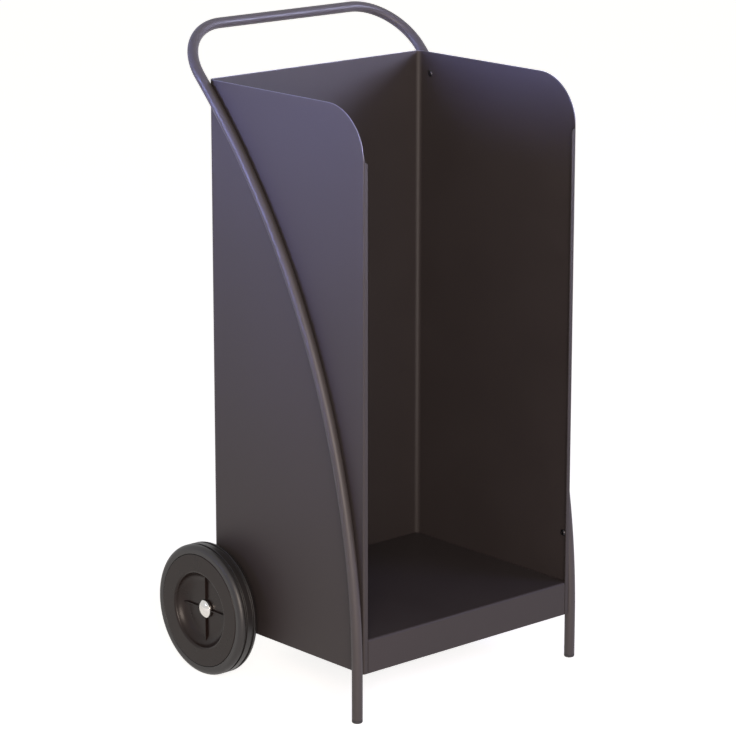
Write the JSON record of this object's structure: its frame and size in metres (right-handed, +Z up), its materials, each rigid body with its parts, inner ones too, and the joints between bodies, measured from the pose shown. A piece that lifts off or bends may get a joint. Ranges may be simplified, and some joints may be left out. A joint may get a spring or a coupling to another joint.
{
  "type": "fireside log cart",
  "caption": "Tall folded-steel log bin on a bent tube frame with front legs, a push handle at the rear and two rubber-tyred wheels.",
  "frame": {"origin": "on the floor, under the middle of the cart's width and depth", "axes": "+X to the right as seen from the open front, +Y to the rear, where the handle and wheels are, +Z up"},
  "size_m": [0.5116, 0.4222, 0.9692],
  "materials": {
    "painted_sheet": "satin anthracite powder coat",
    "painted_tube": "satin anthracite powder coat",
    "foot_plastic": "black moulded plastic",
    "screw_steel": "black coated steel",
    "axle_steel": "bright zinc-plated steel",
    "spacer_plastic": "black moulded plastic",
    "sleeve_plastic": "natural nylon",
    "rim_plastic": "black moulded plastic with a low gloss",
    "tyre_rubber": "black solid rubber",
    "cap_chrome": "bright pressed steel"
  },
  "bodies": {
    "cart": {"bin_shell": "painted_sheet", "floor_tray": "painted_sheet", "left_side_tube": "painted_tube", "right_side_tube": "painted_tube", "handle_bow": "painted_tube", "left_foot": "foot_plastic", "right_foot": "foot_plastic", "left_wall_screws": "screw_steel", "right_wall_screws": "screw_steel", "axle_rod": "axle_steel", "left_spacer": "spacer_plastic", "right_spacer": "spacer_plastic", "left_washer": "axle_steel", "right_washer": "axle_steel", "left_axle_cap": "cap_chrome", "right_axle_cap": "cap_chrome"},
    "left_wheel": {"left_tyre": "tyre_rubber", "left_rim": "rim_plastic", "left_hub_sleeve": "sleeve_plastic"},
    "right_wheel": {"right_tyre": "tyre_rubber", "right_rim": "rim_plastic", "right_hub_sleeve": "sleeve_plastic"}
  },
  "joints": [
    {"name": "left_wheel_spin", "type": "hinge", "parent": "cart", "child": "left_wheel", "pos_m": [-0.239, 0.1099, 0.1], "axis": [1, 0, 0], "continuous": true},
    {"name": "right_wheel_spin", "type": "hinge", "parent": "cart", "child": "right_wheel", "pos_m": [0.239, 0.1099, 0.1], "axis": [1, 0, 0], "continuous": true}
  ]
}
